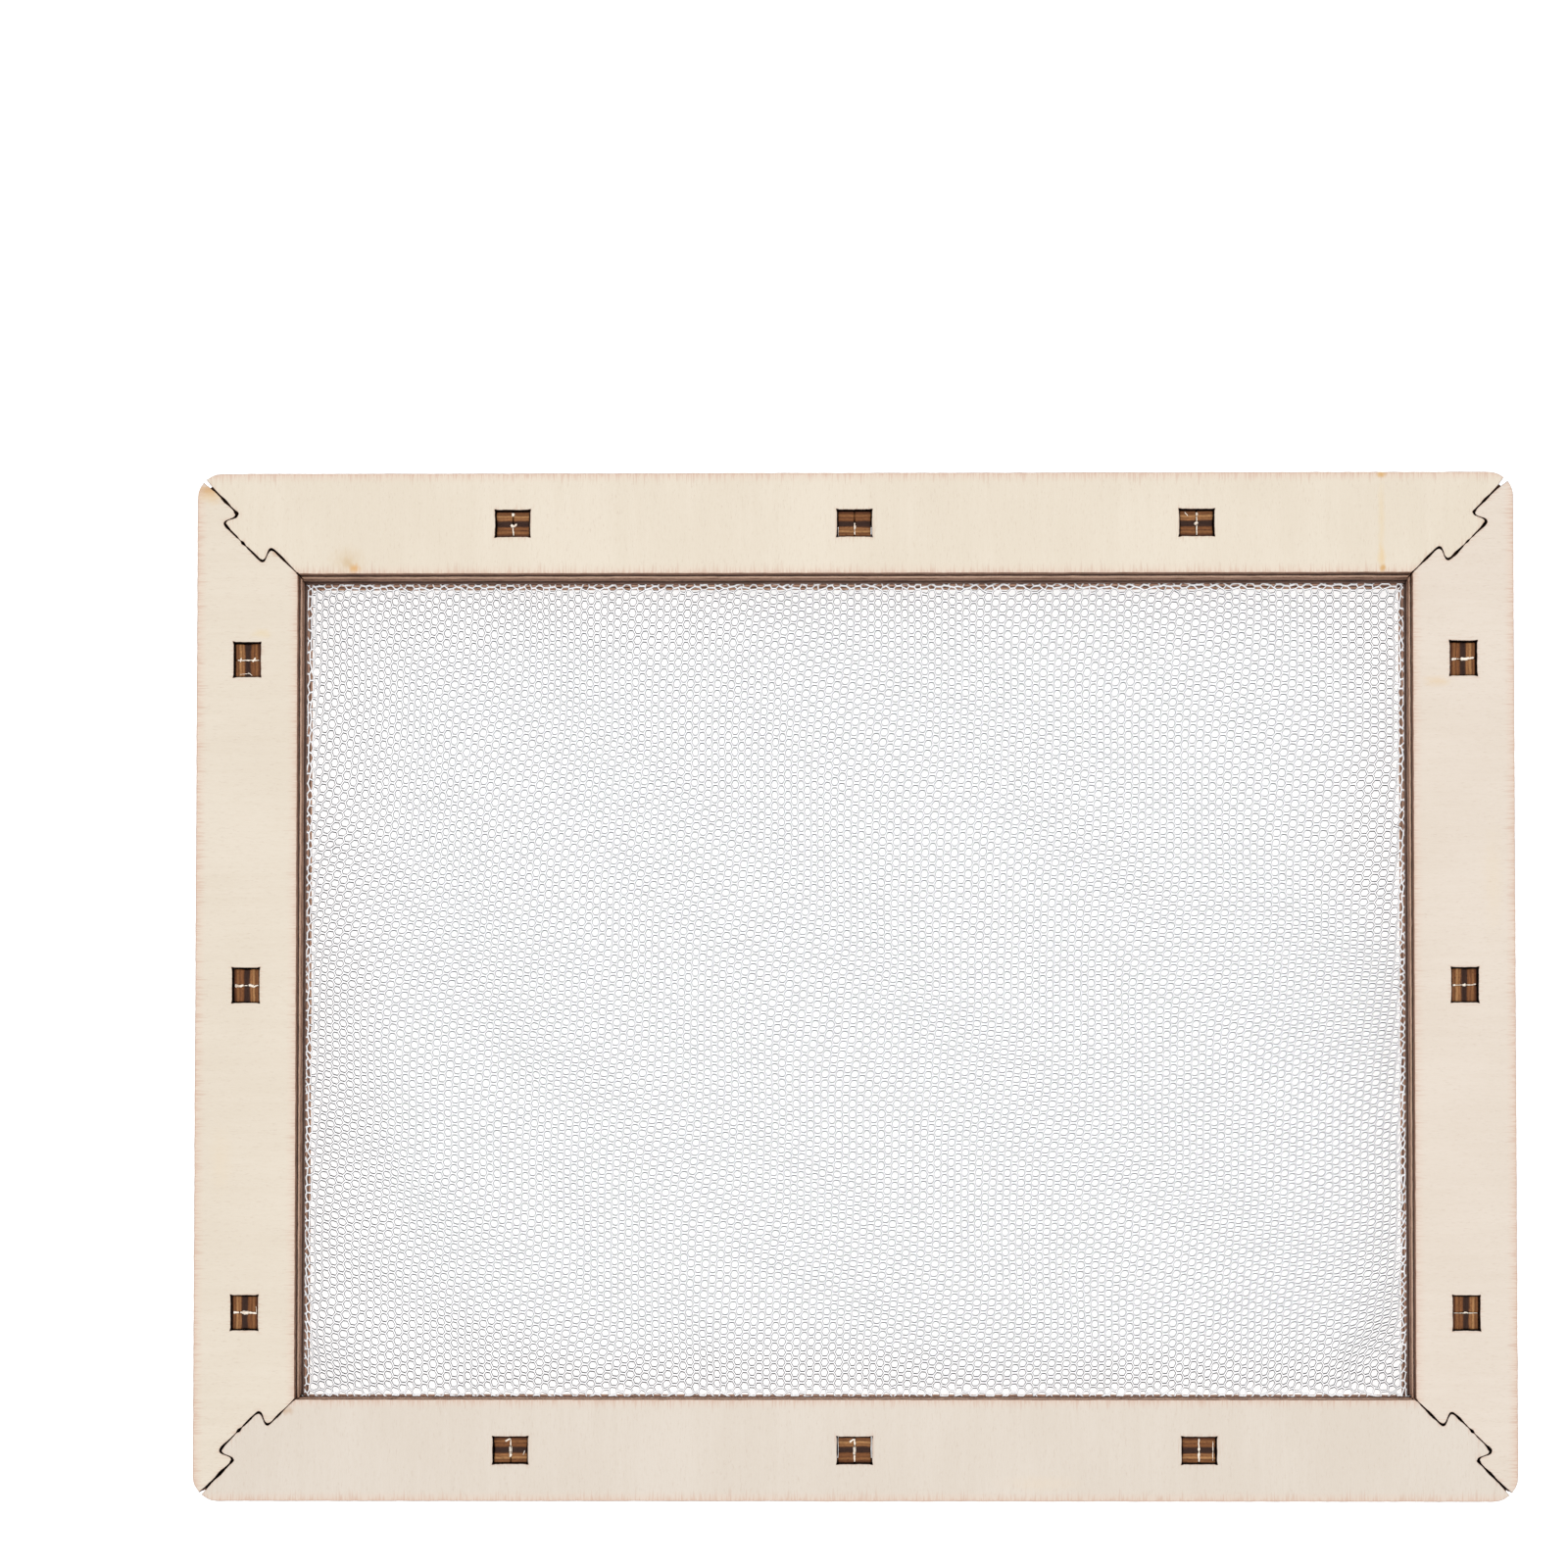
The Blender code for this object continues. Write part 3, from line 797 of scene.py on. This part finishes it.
def stretched(points):
    """The net as it was pulled over the frame: leaning columns, sagging rows, uneven cells."""
    x, y = points[:, 0].copy(), points[:, 1].copy()
    high = smoothstep((y + 12) / 42)
    side = np.clip(np.abs(x) / INNER_X, 0, 1.2)
    lower_row = -0.045 * x + 0.00104 * x ** 2
    upper_row = -0.035 * x + 4.4 * np.exp(-(x + INNER_X) / 22)
    lean = 0.06 * y + high * 0.09 * x ** 2 / (2 * INNER_X) + (1 - high) * 0.02 * x
    rise = lower_row * (1 - high) + upper_row * high
    rise += 0.04 * y * high - 0.10 * y * side ** 4 * (1 - high)
    for length_x, length_y, turn, size in RIPPLES:
        phase = 2 * math.pi * (x / length_x + y / length_y) + turn
        lean += size * np.sin(phase)
        rise += size * np.cos(phase * 0.93 + 1.7 * turn)
    corner = smoothstep((np.abs(x) - 48) / 18) * smoothstep((np.abs(y) - 34) / 16)
    lean += 0.5 * corner * np.sin(y * 0.55 + x * 0.11)
    rise += 0.4 * corner * np.sin(x * 0.61 - y * 0.17)
    moved = np.stack((x + lean, y + rise), 1)
    clear = HALF - RAIL - np.abs(moved) - 0.3
    bunch = BUNCHED * np.tanh(clear / 0.6) * np.exp(-(clear / 6) ** 2)
    bunch[:, 1] *= np.where(moved[:, 1] < 0, 0.2, 1.0)
    moved += np.where(moved < 0, -1.0, 1.0) * bunch
    return moved + rng.normal(0, 1, moved.shape) * (JITTER + WALL_JITTER * pulled(moved))[:, None]


def past_edge(points):
    """Distance past the plywood's outline (negative inside), and the direction straight out."""
    sign = np.where(points < 0, -1.0, 1.0)
    q = np.abs(points) - (HALF - CORNER_RADIUS)
    corner = np.maximum(q, 0)
    reach = np.linalg.norm(corner, axis=1)
    distance = reach + np.minimum(q.max(1), 0) - CORNER_RADIUS
    flat = np.where(q[:, :1] > q[:, 1:], np.array([[1.0, 0.0]]), np.array([[0.0, 1.0]]))
    direction = np.where((reach > 1e-6)[:, None], corner / np.maximum(reach, 1e-6)[:, None], flat)
    return distance, direction * sign


def overhang(points):
    """How far past the plywood the net was cut, uneven along the sides and longer at the corners."""
    x, y = points[:, 0], points[:, 1]
    corner = smoothstep((np.abs(x) - HALF_X + 6) / 5) * smoothstep((np.abs(y) - HALF_Y + 6) / 5)
    fine = 0.30 * np.sin(x * 0.9 + 0.5 * np.sin(y)) * np.sin(y * 0.8 + 1.0)
    return 0.75 + fine + 0.25 * np.sin(x * 0.31 + y * 0.23) + 0.7 * corner


def cut(points, threads):
    """Threads inside the cut line, those that cross it with a loose end."""
    distance, _ = past_edge(points)
    kept = distance < overhang(points)
    for peg in PEGS:
        low, high = box_mm(peg)
        kept &= ~((points > low[:2] - PEG_MARGIN) & (points < high[:2] + PEG_MARGIN)).all(1)
    a, b = threads[:, 0], threads[:, 1]
    whole = threads[kept[a] & kept[b]]
    loose = threads[kept[a] ^ kept[b]]
    swap = ~kept[loose[:, 0]]
    loose[swap] = loose[swap][:, ::-1]
    share = rng.uniform(*END_LEFT, (len(loose), 1))
    ends = points[loose[:, 0]] * (1 - share) + points[loose[:, 1]] * share
    used = np.flatnonzero(kept)
    place = np.full(len(points), -1)
    place[used] = np.arange(len(used))
    tails = np.stack((place[loose[:, 0]], len(used) + np.arange(len(loose))), 1)
    return np.vstack((points[used], ends)), np.vstack((place[whole], tails))


def thread_mesh(knots, threads):
    """A closed mesh of threads with a diamond section, joined at their knots: points and quads."""
    count, total = len(knots), len(threads)
    source = np.concatenate((threads[:, 0], threads[:, 1]))
    target = np.concatenate((threads[:, 1], threads[:, 0]))
    run = knots[target] - knots[source]
    angle = np.arctan2(run[:, 1], run[:, 0])
    level = np.abs(np.cos(angle)) > 0.8
    half = np.where(level, LEVEL_WIDTH, SLANT_WIDTH) / 2 * (1 - 0.30 * pulled(knots[source]))
    order = np.lexsort((angle, source))
    rank = np.empty(2 * total, int)
    rank[order] = np.arange(2 * total)
    valence = np.bincount(source, minlength=count)
    first = np.concatenate(([0], np.cumsum(valence)[:-1]))
    owner = source[order]
    following = np.arange(2 * total) + 1
    last = following >= first[owner] + valence[owner]
    following[last] = first[owner[last]]
    before = np.empty(2 * total, int)
    before[following] = np.arange(2 * total)
    gap = (angle[order][following] - angle[order]) % (2 * math.pi)
    single = valence[owner] == 1
    gap[single] = math.pi
    towards = angle[order] + gap / 2
    this, other = half[order], half[order][following]
    reach = (this + other) / 2 / np.maximum(np.sin(gap / 2), 0.42)
    aside = (this - other) / 2 / np.maximum(np.cos(gap / 2), 0.25)
    corners = knots[owner] + np.stack((np.cos(towards), np.sin(towards)), 1) * reach[:, None]
    corners += np.stack((-np.sin(towards), np.cos(towards)), 1) * aside[:, None]
    lone = np.flatnonzero(single)
    back = angle[order][lone] - math.pi / 2
    rights = knots[owner[lone]] + np.stack((np.cos(back), np.sin(back)), 1) * this[lone, None]
    left_index = 2 * count + np.arange(2 * total)
    right_index = left_index[before]
    right_index[lone] = 2 * count + 2 * total + np.arange(len(lone))
    ahead, behind = rank[:total], rank[total:]
    top_a, top_b = threads[:, 0], threads[:, 1]
    low_a, low_b = top_a + count, top_b + count
    left_a, right_a = left_index[ahead], right_index[ahead]
    right_b, left_b = left_index[behind], right_index[behind]
    quads = [
        np.stack((top_a, top_b, left_b, left_a), 1),
        np.stack((top_b, top_a, right_a, right_b), 1),
        np.stack((low_b, low_a, left_a, left_b), 1),
        np.stack((low_a, low_b, right_b, right_a), 1),
        np.stack((owner[lone], left_index[lone], owner[lone] + count, right_index[lone]), 1),
    ]
    flat = np.vstack((knots, knots, corners, rights))
    height = np.concatenate((np.full(count, THREAD_HEIGHT / 2), np.full(count, -THREAD_HEIGHT / 2),
                             np.zeros(2 * total + len(lone))))
    # How strong the painted shade on each thread's sides is: full on level threads, a little less on
    # slanting ones, weak over the plywood and at cut ends.
    over_opening = smoothstep((np.min(HALF - RAIL - np.abs(knots[threads[:, 0]]), axis=1) - 0.1) / 0.9)
    clear = np.where(level[:total], 1.0, 0.88) * (0.2 + 0.8 * over_opening)
    clear = np.concatenate([clear] * 4 + [np.full(len(lone), 0.2)])
    return flat, height, np.vstack(quads), clear


FOLD_RADIUS = 0.22     # of the net's bend over the plywood's edge


def folded(flat, height):
    """The net's cut edge bends down over the back sheet's side."""
    distance, direction = past_edge(flat)
    past = np.maximum(distance - 0.05, 0)
    limit = 1.35 + 0.2 * np.sin(flat[:, 0] * 0.7 + 1.3 * np.sin(flat[:, 1] * 0.5)) * np.cos(flat[:, 1] * 0.6)
    angle = np.minimum(past / FOLD_RADIUS, limit)
    rest = past - angle * FOLD_RADIUS
    out = FOLD_RADIUS * np.sin(angle) + rest * np.cos(angle) - past
    down = FOLD_RADIUS * (1 - np.cos(angle)) + rest * np.sin(angle)
    plane = flat + direction * (out + height * np.sin(angle))[:, None]
    return np.column_stack((plane, NET_Z - down + height * np.cos(angle)))


def net():
    knots, threads = lattice()
    knots, threads = cut(stretched(knots), threads)
    flat, height, quads, clear = thread_mesh(knots, threads)
    points = folded(flat, height) * MM
    mesh = bpy.data.meshes.new("net")
    mesh.from_pydata(points.tolist(), [], quads.tolist())
    mesh.polygons.foreach_set("use_smooth", [True] * len(quads))
    # The flank and clear marks carry the painted shade on the threads' sides.
    flank = mesh.attributes.new("flank", "FLOAT", "POINT")
    flank.data.foreach_set("value", (height == 0).astype(np.float32))
    painted_side_shade = mesh.attributes.new("clear", "FLOAT", "FACE")
    painted_side_shade.data.foreach_set("value", clear.astype(np.float32))
    mesh.materials.append(net_finish())
    made = placed("net", mesh)
    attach(made, "root")
    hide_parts("net_panel")
    return made


# ---- pegs ----

PEG_SLIT = 0.06        # half the slit between a peg's two prongs
PEG_SLIT_DEPTH = 5.0
PEG_LEAD = 0.4         # chamfer of the end that went in first


def peg_outline(node):
    """A split peg from the side: across by height."""
    low, high = box_mm(node)
    size = high - low
    half = max(size[0], size[1]) / 2
    slit, depth, lead = PEG_SLIT, PEG_SLIT_DEPTH, PEG_LEAD
    right = [(slit, high[2] - depth), (slit, high[2]), (half, high[2]), (half, low[2] + lead),
             (half - lead, low[2])]
    left = [(-x, y) for x, y in reversed(right)]
    loop = np.array(right + left)
    return loop[::-1]


def peg_place(node):
    """A peg's centre, its top, whether it is wider along X, and its thickness."""
    low, high = box_mm(node)
    size = high - low
    return (low + high) / 2, high[2], size[0] > size[1], min(size[:2])


def peg(node, number):
    centre, _, along_x, thickness = peg_place(node)
    seed = 3.1 * number
    loop = subdivided(peg_outline(node), 0.2)
    plate = Plate([loop], -thickness / 2, thickness, roughness=0.045, seed=seed)
    plate.cap(0, False)
    plate.cap(-1, False)

    def upright(points):
        u, z, t = points[:, 0], points[:, 1], points[:, 2]
        if along_x:
            return np.stack((u + centre[0] * MM, -t + centre[1] * MM, z), 1)
        return np.stack((t + centre[0] * MM, u + centre[1] * MM, z), 1)

    finish = peg_finish(number, along_x)
    made = plate.piece(node.replace("peg", "split_peg"), (finish, finish), upright)
    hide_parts(node)
    return made


# ---- loose thread caught in the pegs' slits ----

# Strands (u, v, to u, v, radius, lumpiness): u along the slit from -1 (top or left) to 1, v beside it in mm
LOOSE_THREAD = {
    "top_left": ((-0.92, 0, -0.62, 0, 0.15, 0.5), (0, -0.2, 0.22, 0.05, 0.17, 0.4),
        (0.22, 0, -0.02, 0.46, 0.11, 0.3), (0.25, 0, 0.92, 0.04, 0.07, 0.8)),
    "top_middle": ((-0.1, 0, 0.9, 0.03, 0.06, 0.7), (0.1, 0.02, 0.45, 0.04, 0.1, 0.4)),
    "top_right": ((-0.92, 0.04, 0.95, 0.03, 0.055, 0.6), (-0.9, 0.03, -0.6, 0.05, 0.13, 0.4),
        (-0.1, -0.12, 0.12, 0.06, 0.2, 0.3), (-0.92, -1.35, -0.6, -0.95, 0.05, 0.3)),
    "left_upper": ((-0.85, 0, 0.9, 0, 0.07, 0.7), (-0.62, -0.22, -0.55, 0.3, 0.07, 0.4),
        (0.35, -0.2, 0.62, 0.3, 0.08, 0.4), (-0.7, -1.62, 0.2, -1.5, 0.03, 0.3),
        (0, -1.4, 0.35, -1.75, 0.03, 0.3)),
    "left_middle": ((-0.95, -0.05, -0.2, 0, 0.17, 0.8), (-0.2, 0, 0.1, 0, 0.05, 0.5),
        (0.15, 0.1, 0.6, -0.12, 0.13, 0.8), (0.5, -0.2, 0.95, 0.05, 0.08, 0.6)),
    "left_lower": ((-0.95, 0, -0.45, 0.05, 0.12, 0.7), (-0.4, 0.05, 0.35, 0, 0.14, 0.8),
        (0.3, 0.02, 0.95, -0.1, 0.11, 0.8), (0.92, -0.05, 0.88, 0.75, 0.035, 0.3)),
    "right_upper": ((-0.2, -0.05, 0.55, 0.05, 0.17, 0.3), (0.5, 0.03, 0.92, 0.12, 0.11, 0.5),
        (-0.92, -0.05, -0.5, 0, 0.1, 0.6), (-0.5, 0, -0.2, -0.02, 0.04, 0.4)),
    "right_middle": ((-0.92, 0, 0.92, 0.02, 0.045, 0.6), (-0.15, 0, 0.12, 0.05, 0.16, 0.4),
        (-0.92, -0.02, -0.7, 0, 0.09, 0.5), (0.7, 0.05, 0.95, 0.12, 0.06, 0.5)),
    "right_lower": ((-0.95, -0.02, 0.95, -0.02, 0.035, 0.6), (-0.22, -0.05, 0, 0.1, 0.06, 0.3),
        (0, 0.1, 0.2, -0.05, 0.06, 0.3)),
    "bottom_left": ((-0.66, -0.62, -0.95, -0.05, 0.1, 0.3), (-0.9, 0, -0.3, 0.02, 0.05, 0.7),
        (-0.3, -0.08, 0.35, -0.1, 0.06, 0.5), (-0.3, 0.1, 0.35, 0.08, 0.05, 0.5),
        (0.3, 0, 0.6, -0.05, 0.13, 0.4), (0.05, 1.62, 0.4, 1.4, 0.04, 0.3)),
    "bottom_middle": ((-0.6, -0.55, -0.92, -0.1, 0.1, 0.3), (-0.92, 0, -0.3, 0, 0.08, 0.8),
        (-0.3, -0.08, 0.4, -0.08, 0.06, 0.5), (-0.3, 0.1, 0.4, 0.08, 0.05, 0.5),
        (0.4, 0, 0.95, 0, 0.09, 0.8)),
    "bottom_right": ((-0.95, 0, 0.95, 0, 0.1, 0.9), (-0.75, 1.6, 0.85, 1.58, 0.04, 0.5)),
}
RING = 8               # points round a strand


def strand(start, end, radius, lumps, seed):
    """A closed, lumpy tube from start to end, in millimetres: points and faces."""
    run = end - start
    length = np.linalg.norm(run)
    steps = max(6, int(length / 0.06))
    ahead = run / length
    beside = np.cross((0.0, 0.0, 1.0), ahead)
    above = np.cross(ahead, beside)
    points, faces = [], []
    for i in range(steps + 1):
        share = i / steps
        sway = 0.5 * radius * wave(share * length * 2.2, seed, 0.3) * beside
        centre = start + run * share + sway + above * 0.4 * radius * wave(share * length * 2.0, seed, 7.7)
        taper = (1 - (2 * share - 1) ** 6) ** 0.5 + 0.12
        size = radius * taper * (1 + lumps * 1.3 * wave(share * length * 3.0, seed, 3.1))
        for k in range(RING):
            angle = 2 * math.pi * k / RING
            rough = 1 + 0.25 * wave(centre[0] * 9 + k, centre[1] * 9, seed)
            points.append(centre + size * rough * (math.cos(angle) * beside + math.sin(angle) * above))
    for i in range(steps):
        for k in range(RING):
            a, b = i * RING + k, i * RING + (k + 1) % RING
            faces.append((a, b, b + RING, a + RING))
    faces.append(tuple(reversed(range(RING))))
    faces.append(tuple(range(steps * RING, (steps + 1) * RING)))
    return points, faces


def loose_thread(node):
    """What the slit of one peg holds: thread ends and drops of glue, on the peg's end."""
    place = node.replace("peg_", "")
    centre, top, along_x, thickness = peg_place(node)
    points, faces = [], []

    def spot(u, v, radius):
        along = u * thickness / 2
        flat = (v, -along) if along_x else (along, v)
        return np.array((centre[0] + flat[0], centre[1] + flat[1], top + 0.35 * radius))

    for i, (u, v, to_u, to_v, radius, lumps) in enumerate(LOOSE_THREAD[place]):
        start, end = spot(u, v, radius), spot(to_u, to_v, radius)
        made, sides = strand(start, end, radius, lumps, 5.3 * i + len(points))
        faces += [tuple(j + len(points) for j in side) for side in sides]
        points += made
    mesh = bpy.data.meshes.new("slit_thread")
    mesh.from_pydata((np.array(points) * MM).tolist(), [], faces)
    mesh.polygons.foreach_set("use_smooth", [True] * len(faces))
    mesh.materials.append(LOOSE)
    made = placed(f"slit_thread_{place}", mesh)
    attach(made, "root")
    return made


# ---- stage, in metres ----

FLOOR_REACH = 3.0
FLOOR_Z = -0.0002
FLOOR_GREYS = (0.34, 0.36)
FLOOR_GLOW = 0.74      # keeps the floor as pale as the paper of a light table
SKY = 0.75
KEY_PLACE = (0.0, 0.03, 0.95)
KEY_SIZE = 0.3
KEY_ENERGY = 7.5
LENS = 66.46           # mm, on a sensor 36 mm wide
SHIFT = (-0.0433, 0.2267)
CAMERA_PLACE = (0.002, -0.025, 0.3373)
CAMERA_TILT = (1.3, 0.4)  # degrees about X and Y


def floor():
    mesh = bpy.data.meshes.new("floor")
    corners = [(x * FLOOR_REACH, y * FLOOR_REACH, FLOOR_Z) for x, y in ((-1, -1), (1, -1), (1, 1), (-1, 1))]
    mesh.from_pydata(corners, [], [(0, 1, 2, 3)])
    made = placed("floor", mesh)
    graph = Graph("floor")
    uneven = graph.noise((0.004, 0.004, 0.004))
    colour = graph.mix(uneven, *((grey,) * 3 for grey in FLOOR_GREYS))
    glow = {"Emission_Color": (1.0,) * 4, "Emission_Strength": FLOOR_GLOW}
    mesh.materials.append(graph.done(colour, 0.9, **glow))


def studio():
    """A white sky and one soft light straight above."""
    scene = bpy.context.scene
    scene.view_settings.view_transform = "Standard"
    world = bpy.data.worlds.new("studio")
    world.use_nodes = True
    background = world.node_tree.nodes["Background"]
    background.inputs["Color"].default_value = (1.0, 1.0, 1.0, 1.0)
    background.inputs["Strength"].default_value = SKY
    scene.world = world
    lamp = bpy.data.lights.new("key", "AREA")
    lamp.shape = "DISK"
    lamp.size = KEY_SIZE
    lamp.energy = KEY_ENERGY
    made = placed("key", lamp)
    made.location = KEY_PLACE
    made.rotation_euler = (-Vector(KEY_PLACE)).to_track_quat("-Z", "Y").to_euler()


def camera():
    lens = bpy.data.cameras.new("camera")
    lens.lens = LENS
    lens.sensor_width = 36.0
    lens.shift_x, lens.shift_y = SHIFT
    lens.clip_start, lens.clip_end = 0.01, 10.0
    made = placed("camera", lens)
    made.location = CAMERA_PLACE
    made.rotation_euler = (*map(math.radians, CAMERA_TILT), 0.0)
    bpy.context.scene.camera = made


# ---- the whole model ----

CUT_EDGES = {layer: charred_edge(layer, 17.0 * i) for i, layer in enumerate(LAYERS)}
SOOT, INNER_VENEER_SHADE = soot(), shaded_inner_veneer()
LOOSE = thread_finish("loose_thread", (0.76, 0.68, 0.58), (0.46, 0.34, 0.25))

rails = {(layer, side): rail(layer, side) for layer in LAYERS for side in SIDES}
net()
for number, node in enumerate(PEGS):
    peg(node, number)
    loose_thread(node)
floor()
studio()
camera()
